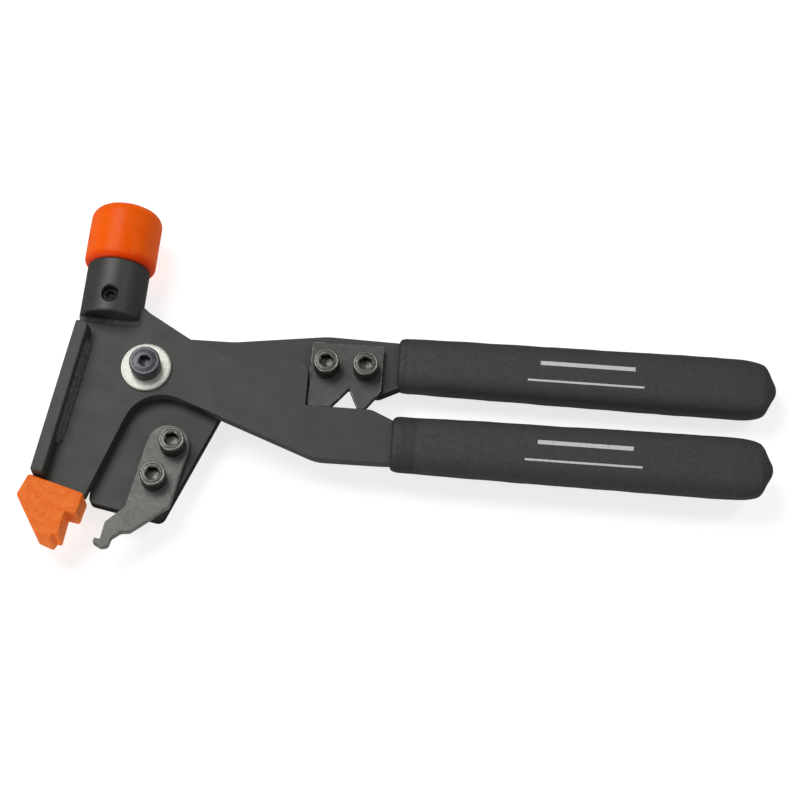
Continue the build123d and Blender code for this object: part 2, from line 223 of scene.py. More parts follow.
def mill_scale():
    """Rolled bar with its scale under the paint."""
    finish = Finish("bar_steel", 0.55, specular=0.35)
    patch = finish.ramp(finish.noise(3.2, 5, 0.6, (1, 2.2, 1)), 0.35, 0.65)
    grain = finish.ramp(finish.noise(0.5, 3), 0.35, 0.7)
    tone = finish.mix(patch, (0.043, 0.048, 0.044), (0.062, 0.067, 0.061))
    finish.colour(finish.mix(grain, tone, (0.058, 0.063, 0.058)))
    finish.bump(finish.noise(2.5, 5, 0.6), 0.05)
    finish.bump(finish.noise(0.5, 3), 0.02)
    return finish


def bar_edge():
    finish = Finish("bar_edge", 0.45, specular=0.35)
    wear = finish.ramp(finish.noise(2.5, 4), 0.4, 0.6)
    finish.colour(finish.mix(wear, (0.045, 0.050, 0.046), (0.11, 0.115, 0.108)))
    finish.bump(finish.noise(1.2, 4), 0.04)
    return finish


def weld():
    """Painted weld bead, its paint lighter than the levers' as painted light on the bead."""
    finish = Finish("weld_metal", 0.45, specular=0.35)
    patch = finish.ramp(finish.noise(1.5, 4), 0.35, 0.65)
    finish.colour(finish.mix(patch, (0.070, 0.074, 0.069), (0.105, 0.110, 0.103)))
    finish.bump(finish.noise(0.8, 4), 0.05)
    return finish


def turned_steel():
    """Dark steel with fine lines round it from the lathe."""
    finish = Finish("turned_steel", 0.47, metallic=0.25)
    rings = finish.noise(0.25, 3, 0.6, (60, 1, 60))
    cloud = finish.ramp(finish.noise(6, 3), 0.3, 0.7)
    tone = finish.mix(cloud, (0.038, 0.039, 0.035), (0.048, 0.049, 0.044))
    finish.colour(finish.mix(finish.ramp(rings, 0.35, 0.65), tone, (0.049, 0.050, 0.046)))
    finish.bump(rings, 0.003)
    return finish


def orange_plastic(name, light, dark, roughness, lump, relief, lip=None, lip_shade_colour=None):
    """Moulded plastic in two near shades of orange. Within a few millimetres of a lip at that height
    it deepens to lip_shade_colour, as painted shade under the lip."""
    finish = Finish(name, roughness, specular=0.10)
    cloud = finish.ramp(finish.noise(lump, 4, 0.55), 0.32, 0.68)
    grain = finish.ramp(finish.noise(0.5, 3), 0.35, 0.7)
    tone = finish.mix(grain, finish.mix(cloud, dark, light), light)
    if lip is not None:
        # Painted shade: the tone deepens towards the lip.
        split = finish.add("ShaderNodeSeparateXYZ")
        finish.link(finish.place, split.inputs["Vector"])
        start = pivot.y + lip * MM
        clear_of_lip_shade = finish.ramp(split.outputs["Y"], start - 0.5 * MM, start + 4 * MM)
        tone = finish.mix(clear_of_lip_shade, lip_shade_colour, tone)
    finish.colour(tone)
    finish.roughness(finish.ramp(finish.noise(2.5, 3), 0.3, 0.7, roughness - 0.06, roughness + 0.08))
    finish.bump(finish.noise(lump * 0.6, 4), relief)
    finish.shader.inputs["Subsurface Weight"].default_value = 0.12
    finish.shader.inputs["Subsurface Radius"].default_value = (1.0, 0.35, 0.1)
    finish.shader.inputs["Subsurface Scale"].default_value = 1.5 * MM
    return finish


def dark_screw(name, tint, roughness, rubbed=2.3):
    """Black oxide, brighter in the rubbed patches."""
    finish = Finish(name, roughness, metallic=0.55)
    rub = finish.ramp(finish.noise(1.6, 4), 0.4, 0.68)
    finish.colour(finish.mix(rub, tint, times(rubbed, tint)))
    finish.roughness(finish.ramp(finish.noise(1.0, 3), 0.3, 0.7, roughness - 0.08, roughness + 0.1))
    finish.bump(finish.noise(0.4, 3), 0.01)
    return finish


def rubbed_rim(name, colour):
    """The bright ring where a screw's head has lost its black."""
    finish = Finish(name, 0.32, metallic=0.7)
    rub = finish.ramp(finish.noise(0.9, 3), 0.30, 0.55)
    finish.colour(finish.mix(rub, times(0.6, colour), colour))
    finish.bump(finish.noise(0.4, 3), 0.012)
    return finish


def blade_steel(name, dark, light, roughness, speck, side_shading=1.0, rubbed=1.0):
    """Grey hardened steel, blasted, with small dark specks. Its upright walls are its dark tone
    times a share: painted shade below 1, painted light above. The patches along its rounded edges
    are its light tone times the rubbed share: partly wear, partly painted edge highlight."""
    finish = Finish(name, roughness, metallic=0.35)
    cloud = finish.ramp(finish.noise(7, 3), 0.3, 0.7)
    specks = finish.ramp(finish.noise(0.7, 2), 0.62, 0.72, 0.0, speck)
    tone = finish.mix(cloud, dark, light)
    tone = finish.mix(specks, tone, times(0.6, dark))
    # Bright patches along the rounded edges: partly wear, partly painted edge highlight.
    rub = finish.ramp(finish.noise(4, 3), 0.42, 0.55)
    edge = finish.mix(rub, dark, times(rubbed, light))
    rounded = finish.mix(finish.flatness(0.3, 0.5), times(side_shading, dark), edge)
    finish.colour(finish.mix(finish.flatness(0.93, 0.99), rounded, tone))
    finish.roughness(finish.ramp(finish.noise(1.5, 3), 0.3, 0.7, roughness - 0.04, roughness + 0.06))
    finish.bump(finish.noise(0.35, 3), 0.012)
    return finish


def nickel():
    """Bright plated washer, lightly scuffed."""
    finish = Finish("bright_nickel", 0.34, metallic=0.25)
    scuff = finish.ramp(finish.noise(1.2, 4), 0.35, 0.65)
    finish.colour(finish.mix(scuff, (0.52, 0.52, 0.465), (0.59, 0.59, 0.535)))
    finish.roughness(finish.ramp(finish.noise(0.7, 4), 0.3, 0.7, 0.30, 0.40))
    finish.bump(finish.noise(0.8, 3), 0.005)
    return finish


def bronze():
    finish = Finish("bronze", 0.4, metallic=0.9)
    patch = finish.ramp(finish.noise(2, 3), 0.35, 0.65)
    finish.colour(finish.mix(patch, (0.42, 0.29, 0.13), (0.58, 0.42, 0.21)))
    finish.bump(finish.noise(0.6, 3), 0.01)
    return finish


def nylon():
    finish = Finish("nut_nylon", 0.45)
    patch = finish.ramp(finish.noise(1.2, 3), 0.35, 0.65)
    finish.colour(finish.mix(patch, (0.70, 0.71, 0.67), (0.78, 0.79, 0.75)))
    finish.bump(finish.noise(0.5, 3), 0.02)
    return finish


# The vinyl's low spots, its high spots and the specks over both.
VINYL_TONES = ((0.025, 0.026, 0.0235), (0.037, 0.038, 0.034), (0.041, 0.0415, 0.0375))


def vinyl(brightness):
    """Dipped black vinyl: matt, with a fine uneven skin."""
    finish = Finish("grip_vinyl", 0.62, specular=0.4)
    mottle = finish.ramp(finish.noise(1.5, 5, 0.62), 0.34, 0.66)
    grain = finish.ramp(finish.noise(0.45, 3), 0.35, 0.7)
    low, high, speck = (times(brightness, tone) for tone in VINYL_TONES)
    finish.colour(finish.mix(grain, finish.mix(mottle, low, high), speck))
    finish.roughness(finish.ramp(finish.noise(1.8, 4), 0.3, 0.7, 0.54, 0.68))
    finish.bump(finish.noise(1.4, 5, 0.6), 0.09)
    finish.bump(finish.noise(0.4, 3), 0.02)
    return finish


def ink():
    """Pale ink on the vinyl, thin enough to show its grain."""
    finish = Finish("grip_print", 0.6)
    gaps = finish.ramp(finish.noise(0.5, 3), 0.30, 0.45)
    finish.colour(finish.mix(gaps, (0.35, 0.36, 0.36), (0.62, 0.63, 0.64)))
    finish.bump(finish.noise(1.4, 5, 0.6), 0.09)
    return finish


# Front lever's walls painted lighter than its face, as painted light; rear lever's walls painted
# near black, as painted shade.
PAINT_LIT_WALLS = paint(side_shading=(0.060, 0.063, 0.058))
REAR_PAINT_SHADED_WALLS = paint(side_shading=(0.012, 0.012, 0.011))
WORN_PAINT = worn_paint()
BAR = mill_scale()
BAR_EDGE = bar_edge()
# The weld's tone is lighter than the levers' paint: painted light on the bead.
WELD = weld()
TURNED = turned_steel()
# The cap deepens to a redder orange just above the socket: painted shade under its rolled lip.
CAP_ORANGE = orange_plastic("orange_face", light=(0.94, 0.125, 0.002), dark=(0.90, 0.098, 0.001),
                            roughness=0.34, lump=5.0, relief=0.05,
                            lip=span("hammer_socket")[1].y, lip_shade_colour=(0.84, 0.055, 0.001))
FOOT_ORANGE = orange_plastic("orange_foot", light=(0.94, 0.215, 0.030), dark=(0.84, 0.120, 0.004),
                             roughness=0.44, lump=2.6, relief=0.08)
OXIDE = dark_screw("black_oxide", (0.030, 0.031, 0.028), roughness=0.38)
# Lighter copy of the black oxide: painted light on the screw tops and recess bottoms.
OXIDE_LIT = dark_screw("black_oxide", (0.078, 0.079, 0.073), roughness=0.38, rubbed=1.7)
# Near black: painted shade on the set screw deep in its hole.
OXIDE_SHADED = dark_screw("black_oxide", (0.006, 0.006, 0.0055), roughness=0.6)
OXIDE_RIM = rubbed_rim("screw_rim", (0.20, 0.20, 0.18))
PIVOT_STEEL = dark_screw("pivot_steel", (0.052, 0.055, 0.060), roughness=0.42, rubbed=1.4)
# Lighter copy for the pivot head's top: painted light.
PIVOT_LIT = dark_screw("pivot_steel", (0.070, 0.073, 0.080), roughness=0.38, rubbed=1.3)
PIVOT_RIM = rubbed_rim("pivot_rim", (0.082, 0.085, 0.092))
# Hook walls painted lighter, as painted light; cutter walls painted near black, as painted shade;
# the cutter's edges carry bright painted highlights along with wear.
HOOK = blade_steel("hook_steel", dark=(0.108, 0.110, 0.102), light=(0.136, 0.138, 0.128),
                   roughness=0.48, speck=0.5, side_shading=1.9, rubbed=1.6)
HOOK_EDGE = blade_steel("hook_edge", dark=(0.16, 0.165, 0.155), light=(0.24, 0.245, 0.23),
                        roughness=0.38, speck=0.3)
CUTTER = blade_steel("cutter_steel", dark=(0.058, 0.060, 0.055), light=(0.072, 0.074, 0.068),
                     roughness=0.50, speck=0.3, side_shading=0.10, rubbed=8.0)
CUTTER_EDGE_WORN_AND_LIT = blade_steel("cutter_edge", dark=(0.20, 0.20, 0.19), light=(0.60, 0.60, 0.56),
                          roughness=0.35, speck=0.1, side_shading=1.6)
NICKEL = nickel()
BRONZE = bronze()
NYLON = nylon()
VINYL = vinyl(brightness=1.13)
# Darker vinyl for the band at the mouth: painted shade.
VINYL_MOUTH_SHADE = vinyl(brightness=0.82)
INK = ink()


# ---- making pieces ------------------------------------------------------------------------------
SEAM_GAP = 0.002                 # points of a CAD mesh that are closer than this are one
FLAT_TURN = radians(0.6)         # faces that turn less than this against each other are one
CORNER_TURN = radians(30)        # edges that turn more than this are corners
CORNER_SEGMENTS = 3


def dress(node, face, edge, width):
    """A CAD node keeps its shape and gets its finish, with its corners broken to that width."""
    cad = frame["nodes"][node]
    cad.data.materials.clear()
    cad.data.materials.append(face.material)
    cad.data.materials.append(edge.material)
    one_skin = cad.modifiers.new("one_skin", "WELD")
    one_skin.merge_threshold = SEAM_GAP * MM
    flats = cad.modifiers.new("flats", "DECIMATE")
    flats.decimate_type = "DISSOLVE"
    flats.angle_limit = FLAT_TURN
    edges = cad.modifiers.new("edges", "BEVEL")
    edges.width = width * MM
    edges.segments = CORNER_SEGMENTS
    edges.limit_method = "ANGLE"
    edges.angle_limit = CORNER_TURN
    edges.material = 1
    edges.use_clamp_overlap = False
    normals = cad.modifiers.new("normals", "WEIGHTED_NORMAL")
    normals.keep_sharp = True


def skin(rings, coat=None, joined=False):
    """The surface through rings of points: a closed tube, or with joined a ring of rings.
    coat(band, column) says which of the piece's finishes a face has."""
    mesh = bmesh.new()
    rows = [[mesh.verts.new(point) for point in ring] for ring in rings]
    pairs = list(zip(rows, rows[1:]))
    if joined:
        pairs.append((rows[-1], rows[0]))
    for band, (first, second) in enumerate(pairs):
        for i in range(len(first)):
            j = (i + 1) % len(first)
            face = mesh.faces.new((first[i], first[j], second[j], second[i]))
            if coat:
                face.material_index = coat(band, i)
    if not joined:
        mesh.faces.new(rows[0][::-1])
        end = mesh.faces.new(rows[-1])
        if coat:
            end.material_index = coat(len(pairs) - 1, 0)
    return mesh


def banded(coats):
    """A coat function for pieces whose finish changes only from band to band."""
    return lambda band, column: coats[band]


UNEVEN = 0.06            # how far a ruffled piece is held back, so that it stays in the CAD box


def ruffle(mesh, size, depth, seed=0.0):
    """Moves a mesh's points in and out by up to depth, in lumps of about that size."""
    mesh.normal_update()
    for vert in mesh.verts:
        lump = noise.noise(vert.co / size + Vector((seed, seed, seed)))
        vert.co += vert.normal * lump * depth


CRISP = radians(35)      # faces that turn less than this against each other are shaded as one
SOFT = radians(60)       # the same on rounded, uneven pieces


def piece(node, mesh, place, body, finishes, smooth=CRISP):
    """A new piece instead of a CAD node, from a mesh drawn in millimetres. It is set in its place
    and rides on its body."""
    bmesh.ops.recalc_face_normals(mesh, faces=mesh.faces)
    mesh.transform(DRAWING @ place)
    name = node + "_detail"
    data = bpy.data.meshes.new(name)
    mesh.to_mesh(data)
    mesh.free()
    data.shade_smooth()
    data.set_sharp_from_angle(angle=smooth)
    for finish in finishes:
        data.materials.append(finish.material)
    made = bpy.data.objects.new(name, data)
    bpy.context.scene.collection.objects.link(made)
    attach(made, body)
    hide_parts(node)


def circle(radius, height, points):
    """A ring about Z. The radius is a number, or a function of the angle."""
    ring = []
    for i in range(points):
        angle = tau * i / points
        reach = radius(angle) if callable(radius) else radius
        ring.append(Vector((reach * cos(angle), reach * sin(angle), height)))
    return ring


def arc(middle_r, middle_h, radius, start, end, steps):
    """(radius, height) pairs round a corner of a turned profile, in degrees."""
    turns = [radians(start + (end - start) * i / steps) for i in range(steps + 1)]
    return [(middle_r + radius * cos(t), middle_h + radius * sin(t)) for t in turns]


def lathe(profile, points):
    """Rings about Z through (radius, height) pairs."""
    return [circle(radius, height, points) for radius, height in profile]


def hexagon(flats):
    """How far a hexagon's side is at an angle, with a corner at angle 0."""
    return lambda angle: flats / 2 / cos(angle % (tau / 6) - tau / 12)


def knurled(radius, depth, ridges):
    """A round side with fine upright ridges."""
    return lambda angle: radius - depth * (0.5 - 0.5 * cos(ridges * angle))


# ---- screws -------------------------------------------------------------------------------------
SCREW_POINTS = 192       # round a screw: a multiple of 6, and of 4 for every ridge of its knurl
KNURL_RIDGES = 48
KNURL_DEPTH = 0.11
RECESS_LEAD = 0.12       # how far a recess's mouth reaches past its hexagon's corners
RECESS_MOUTH = 0.3       # how deep that mouth is
RECESS_CONE = 0.5        # how much deeper the drill's point went
# A screw's finishes, by their number among its materials. The second is a lighter copy of the first:
# painted light on the head's top and the recess's mouth and bottom.
BLACK, LIT_COPY, RUBBED = 0, 1, 2
RECESS_COATS = [LIT_COPY, RUBBED, BLACK, BLACK, LIT_COPY]


def hex_recess(flats, top, depth):
    """Profile from a lightly countersunk mouth down a hexagon recess to its drilled bottom."""
    mouth = flats / sqrt(3) + RECESS_LEAD
    return [
        (mouth, top),
        (mouth - 0.1, top - 0.12),
        (hexagon(flats), top - RECESS_MOUTH),
        (hexagon(flats), top - depth),
        (flats * 0.46, top - depth - 0.02),
        (flats * 0.12, top - depth - RECESS_CONE),
    ]


CAP_SHANK_R = 3.175
CAP_HEAD_H = 6.35
CAP_HEX = 4.76
CAP_HEX_DEPTH = 3.1
CAP_CHAMFER = 0.5
CAP_RIM = 0.50           # the rounded, rubbed corner of its head
CAP_LIP_DROP = 0.03      # how far the face inside the rim's groove is below it
# Degrees that each cap screw's recess is turned.
CAP_SCREW_TURNS = {
    "hook_screw_upper": 22,
    "hook_screw_lower": 5,
    "cutter_screw_left": 15,
    "cutter_screw_right": 40,
}


def cap_screw(node, turn):
    """Knurled socket head cap screw, its rims rubbed bright."""
    low, high = span(node)
    radius = (high.x - low.x) / 2
    seat = high.z - CAP_HEAD_H
    side = knurled(radius, KNURL_DEPTH, KNURL_RIDGES)
    shank = [
        (CAP_SHANK_R - CAP_CHAMFER, low.z),
        (CAP_SHANK_R, low.z + CAP_CHAMFER),
        (CAP_SHANK_R, seat),
    ]
    head = [
        (radius - 0.25, seat),
        (radius - 0.02, seat + 0.25),
        (side, seat + 0.45),
        (side, high.z - 0.95),
        (radius - 0.02, high.z - 0.8),
    ]
    corner = [
        (radius - 0.06, high.z - CAP_RIM),
        (radius - 0.30, high.z - 0.1),
        (radius - CAP_RIM, high.z),
    ]
    groove = [
        (radius - 0.85, high.z),
        (radius - 1.00, high.z - 0.10),
        (radius - 1.20, high.z - CAP_LIP_DROP),
    ]
    recess = hex_recess(CAP_HEX, high.z - CAP_LIP_DROP, CAP_HEX_DEPTH)
    profile = shank + head + corner + groove + recess
    coats = [BLACK] * len(shank + head) + [RUBBED] * len(corner) + [BLACK, LIT_COPY, LIT_COPY]
    coats += RECESS_COATS
    mesh = skin(lathe(profile, SCREW_POINTS), banded(coats))
    middle = middle_of(node)
    place = Matrix.Translation((middle.x, middle.y, 0)) @ Matrix.Rotation(radians(turn), 4, "Z")
    piece(node, mesh, place, REAR, [OXIDE, OXIDE_LIT, OXIDE_RIM])


SHOULDER_R = 3.97
THREAD_R = 3.1
THREAD_DEPTH = 0.3
THREAD_PITCH = 0.9
THREAD_START = 0.5       # how far from the screw's end the first turn is
THREAD_PLAIN = 1.0       # how much of the length at both ends together has no turns
PIVOT_CORNER = 0.55
PIVOT_FILLET = 0.3
PIVOT_GROOVE = 0.14      # how deep the turned groove in its head is, and the dish inside it
PIVOT_DISH = 0.04
PIVOT_HEX = 3.97
PIVOT_HEX_DEPTH = 2.9
PIVOT_TURN = 12          # degrees that its recess is turned


def thread(low, high):
    """Profile of as many whole turns of the pivot's thread as fit between two heights."""
    turns = int((high - low - THREAD_PLAIN) / THREAD_PITCH)
    root = THREAD_R - THREAD_DEPTH
    profile = [(THREAD_R - 0.6, low), (THREAD_R - 0.25, low + 0.3)]
    for i in range(turns):
        height = low + THREAD_START + i * THREAD_PITCH
        profile.append((root, height))
        profile.append((THREAD_R, height + 0.35 * THREAD_PITCH))
        profile.append((root, height + 0.7 * THREAD_PITCH))
    return profile + [(THREAD_R - 0.1, high)]


def pivot_screw():
    """Shoulder screw: its head turned in fine rings, its end threaded for the nut."""
    low, high = span("pivot_screw")
    radius = (high.x - low.x) / 2
    seat = span("pivot_washer_front")[1].z
    shoulder_end = span("pivot_washer_rear")[1].z
    lower = thread(low.z, shoulder_end)
    lower += [(SHOULDER_R, shoulder_end), (SHOULDER_R, seat), (radius - PIVOT_FILLET - 0.1, seat)]
    lower += arc(radius - PIVOT_FILLET, seat + PIVOT_FILLET, PIVOT_FILLET, -90, 0, 3)
    corner = arc(radius - PIVOT_CORNER, high.z - PIVOT_CORNER, PIVOT_CORNER, 0, 90, 5)
    groove = high.z - PIVOT_GROOVE
    dish = high.z - PIVOT_DISH
    top = [
        (radius - 1.1, high.z),
        (radius - 1.25, groove),
        (radius - 1.5, groove),
        (radius - 1.7, dish),
        (radius - 2.5, dish),
        (radius - 2.6, high.z),
    ]
    recess = hex_recess(PIVOT_HEX, high.z - 0.01, PIVOT_HEX_DEPTH)
    coats = [BLACK] * (len(lower + corner) - 1)
    coats += [RUBBED, BLACK, BLACK, BLACK, LIT_COPY, RUBBED, LIT_COPY]
    coats += RECESS_COATS
    mesh = skin(lathe(lower + corner + top + recess, SCREW_POINTS), banded(coats))
    place = Matrix.Rotation(radians(PIVOT_TURN), 4, "Z")
    piece("pivot_screw", mesh, place, FRONT, [PIVOT_STEEL, PIVOT_LIT, PIVOT_RIM])


SHOULDER_BORE = 4.0      # radius of a hole that passes the pivot's shoulder
THREAD_BORE = 3.2        # and of one that passes only its thread
WASHER_POINTS = 128
WASHER_CORNER = 0.2
WASHER_BREAK = 0.15      # its bore's broken edge
WASHER_EDGE = 0.08
WASHER_GROOVE = 0.07
NUT_POINTS = 96
NUT_COLLAR_H = 1.8
NUT_COLLAR_WALL = 0.85


def washer(node, finish, bore, rim, drop):
    """Plain washer with a groove inside its rim, which slopes down by drop, and a broken bore."""
    low, high = span(node)
    outer = (high.x - low.x) / 2
    inner = outer - rim
    profile = [
        (bore, low.z + WASHER_EDGE),
        (bore + WASHER_EDGE, low.z),
        (outer - WASHER_CORNER, low.z),
        (outer, low.z + WASHER_CORNER),
        (outer, high.z - drop - 0.12),
        (outer - WASHER_EDGE, high.z - drop),
        (inner, high.z - 0.03),
        (inner - 0.05, high.z - WASHER_GROOVE),
        (inner - 0.15, high.z - WASHER_GROOVE),
        (inner - 0.22, high.z),
        (bore + WASHER_BREAK, high.z),
        (bore, high.z - WASHER_BREAK),
    ]
    mesh = skin(lathe(profile, WASHER_POINTS), joined=True)
    piece(node, mesh, Matrix(), FRONT, [finish])


def lock_nut():
    """Hexagon nut with chamfered corners and a thin collar over its nylon ring."""
    low, high = span("pivot_nut")
    flats = high.y - low.y
    half = flats / 2
    six = hexagon(flats)
    body_low = low.z + NUT_COLLAR_H
    collar = half - 0.3

    def chamfered(cut):
        return lambda angle: min(six(angle), half + cut)

    profile = [
        (THREAD_BORE, high.z - 0.2),
        (THREAD_BORE + 0.25, high.z),
        (half - 0.25, high.z),
        (chamfered(0.15), high.z - 0.12),
        (chamfered(0.5), high.z - 0.35),
        (chamfered(0.9), high.z - 0.65),
        (chamfered(0.9), body_low + 0.5),
        (chamfered(0.3), body_low + 0.15),
        (half - 0.2, body_low),
        (collar, low.z + 0.5),
        (collar - 0.3, low.z + 0.12),
        (collar - 0.7, low.z),
        (collar - NUT_COLLAR_WALL, low.z + 0.15),
        (collar - NUT_COLLAR_WALL, body_low),
        (THREAD_BORE, body_low),
    ]
    mesh = skin(lathe(profile, NUT_POINTS), joined=True)
    piece("pivot_nut", mesh, Matrix(), FRONT, [NICKEL])


# ---- hammer -------------------------------------------------------------------------------------
HAMMER_LEAN = radians(2.0)
FACE_L = 23.5
FACE_ROUND = 4.2
FACE_LIP = 2.6
FACE_SEAT_GAP = 0.02
FACE_POINTS = 128
STEM_R = 6.95
STEM_L = 17.4
STEM_CHAMFER = 0.4


def socket_length():
    """The socket's own length. It leans, so its box is longer."""
    low, high = span("hammer_socket")
    return (high.y - low.y - (high.z - low.z) * sin(HAMMER_LEAN)) / cos(HAMMER_LEAN)


def hammer_stand():
    """Stands a piece drawn about Z on the hammer's axis, from the socket's lower end. -Y is up."""
    turn = Matrix.Rotation(-HAMMER_LEAN, 4, "Z") @ Matrix.Rotation(-pi / 2, 4, "X")
    drop = Matrix.Translation((0, 0, -socket_length() / 2))
    return Matrix.Translation(middle_of("hammer_socket")) @ turn @ drop


def hammer_face():
    """Soft face: upright side with a rolled lip, a wide round shoulder and a flat end."""
    low, high = span("hammer_face")
    radius = (high.z - low.z) / 2 - UNEVEN
    seat = socket_length()
    face = seat + FACE_SEAT_GAP
    top = seat + FACE_L
    profile = [
        (STEM_R - STEM_CHAMFER, seat - STEM_L),
        (STEM_R, seat - STEM_L + STEM_CHAMFER),
        (STEM_R, face),
        (radius - FACE_LIP - 0.8, face),
    ]
    profile += arc(radius - FACE_LIP, seat + FACE_LIP, FACE_LIP, -90, 0, 8)
    side = top - FACE_ROUND - (seat + FACE_LIP)
    profile += [(radius, seat + FACE_LIP + side * i / 8) for i in range(1, 8)]
    profile += arc(radius - FACE_ROUND, top - FACE_ROUND, FACE_ROUND, 0, 90, 12)
    profile += [((radius - FACE_ROUND) * (1 - i / 6), top) for i in range(1, 6)]
    mesh = skin(lathe(profile, FACE_POINTS))
    ruffle(mesh, size=7.0, depth=0.12)
    ruffle(mesh, size=2.5, depth=0.03)
    piece("hammer_face", mesh, hammer_stand(), FRONT, [CAP_ORANGE], smooth=SOFT)


# ---- weld beads ---------------------------------------------------------------------------------
BEAD_ROOT = 0.3              # how far a bead reaches into its corner
BEAD_STEPS = 8               # points over its crown
BEAD_RIPPLE = 0.06           # how much a ripple widens it, as a share
BEAD_SAG = 0.20              # how much flatter than round its crown is
BEAD_TIP = 0.25              # its size at its ends, against 1 along its run
BEAD_ENDS = 0.06             # share of its run over which an end rises
# How far on in the noise each station is, for the lumps that widen a bead and that raise it.
WIDE_LUMPS = 0.13
HIGH_LUMPS = 0.09


def bead(path, leg, height, ripple, lumps, seed):
    """Rings of a fillet bead that spreads by leg and climbs by height. It has a ripple every so
    many stations, and lumps that change its size by that share.
    path has (point, outward, up, size) for every station."""
    rings = []
    for i, (point, outward, up, size) in enumerate(path):
        wider = lumps * noise.noise(Vector((i * WIDE_LUMPS, seed, 0)))
        higher = lumps * noise.noise(Vector((seed, i * HIGH_LUMPS, 5)))
        scale = 1 + BEAD_RIPPLE * abs(sin(pi * i / ripple)) + wider
        reach = leg * size * scale
        rise = height * size * (scale + higher)
        root = point - outward * BEAD_ROOT
        ring = [root - up * BEAD_ROOT, point + outward * reach - up * BEAD_ROOT]
        for step in range(BEAD_STEPS):
            turn = pi / 2 * step / (BEAD_STEPS - 1)
            bulge = 1 - BEAD_SAG + BEAD_SAG * abs(cos(2 * turn))
            ring.append(point + outward * reach * bulge * cos(turn) + up * rise * bulge * sin(turn))
        ring.append(root + up * rise)
        rings.append(ring)
    return rings


def ends(share):
    """A bead's size along its run, full except near its ends."""
    near = min(share, 1 - share)
    return BEAD_TIP + (1 - BEAD_TIP) * min(1.0, near / BEAD_ENDS) ** 0.5


BAR_LEAN = radians(8.67)     # the edge bar, off the Y axis
BAR_WELD_STATIONS = 150


def bar_weld(node, side):
    """Long bead in the corner of the edge bar and the lever, on that side of the lever."""
    low, high = span(node)
    across = Vector((cos(BAR_LEAN), -sin(BAR_LEAN), 0))
    along = Vector((sin(BAR_LEAN), cos(BAR_LEAN), 0))
    up = Vector((0, 0, side))
    leg = high.z - low.z
    length = (high.y - low.y - leg * sin(BAR_LEAN)) / cos(BAR_LEAN)
    middle = middle_of(node) - across * leg / 2
    middle.z = low.z if side > 0 else high.z
    path = []
    for i in range(BAR_WELD_STATIONS + 1):
        share = i / BAR_WELD_STATIONS
        path.append((middle + along * length * (share - 0.5), across, up, ends(share)))
    rings = bead(path, leg=0.90 * leg, height=1.15 * leg, ripple=6, lumps=0.2, seed=3.0 * side)
    piece(node, skin(rings), Matrix(), FRONT, [WELD], smooth=SOFT)


SOCKET_WELD_STATIONS = 120
SOCKET_WELD_RISE = 5.5       # how far it climbs beside the horn
SOCKET_WELD_SIZE = 0.8       # its size under the socket, and then beside the horn
SOCKET_WELD_RISE_SIZE = 0.35
SOCKET_WELD_INSET = 0.1      # how far inside the socket's edges it ends


def socket_weld(node, side):
    """Bead under the socket's lower end, turning up beside the lever's horn, on that side."""
    socket_low, socket_high = span("hammer_socket")
    radius = (socket_high.z - socket_low.z) / 2
    weld_low, weld_high = span(node)
    face = weld_low.z if side > 0 else weld_high.z
    offset = face - (socket_low.z + socket_high.z) / 2
    half = sqrt(radius ** 2 - offset ** 2) - SOCKET_WELD_INSET
    leg = weld_high.z - weld_low.z
    origin = hammer_stand() @ Vector((0, -offset, 0))
    across = Vector((cos(HAMMER_LEAN), -sin(HAMMER_LEAN), 0))
    axis = Vector((sin(HAMMER_LEAN), cos(HAMMER_LEAN), 0))
    up = Vector((0, 0, side))
    run = 2 * half
    path = []
    for i in range(SOCKET_WELD_STATIONS + 1):
        share = i / SOCKET_WELD_STATIONS
        done = share * (run + SOCKET_WELD_RISE)
        if done <= run:
            point = origin + across * (done - half)
            path.append((point, -axis, up, ends(share) * SOCKET_WELD_SIZE))
        else:
            point = origin + across * half + axis * (done - run)
            path.append((point, across, up, SOCKET_WELD_RISE_SIZE))
    rings = bead(path, leg=0.80 * leg, height=0.5 * leg, ripple=7, lumps=0.12, seed=7.0 * side)
    piece(node, skin(rings), Matrix(), FRONT, [WELD], smooth=SOFT)


# ---- grips --------------------------------------------------------------------------------------
GRIP_POINTS = 144
GRIP_STATIONS = 240
GRIP_CROWDING = 0.6          # how much closer its stations are near its ends: 0 is even
GRIP_CORNER = 3.1            # 2 would be an ellipse across the grip, and more is boxier
# A grip's finishes, by their number among its materials.
# The second is the darker band at the grip's mouth, painted shade.
BODY, MOUTH_SHADE, PRINT = 0, 1, 2
# Share of the length, of the half width and of the half thickness at the grip's mouth, along it
# and round its nose.
GRIP_SHAPE = [
    (0.000, 0.760, 0.780),
    (0.004, 0.835, 0.880),
    (0.010, 0.875, 0.925),
    (0.020, 0.896, 0.950),
    (0.060, 0.905, 0.965),
    (0.150, 0.924, 0.990),
    (0.500, 0.966, 1.000),
    (0.800, 1.002, 1.000),
    (0.908, 0.994, 0.965),
    (0.940, 0.956, 0.895),
    (0.965, 0.862, 0.780),
    (0.976, 0.715, 0.660),
    (0.986, 0.460, 0.480),
    (0.998, 0.165, 0.220),
    (1.000, 0.050, 0.100),
]
# Printed rules on a grip: from and to along it, middle across it and thickness.
PRINTED_RULES = [
    (52.7, 88.2, 2.8, 1.7),
    (48.3, 92.0, -4.2, 0.6),
]


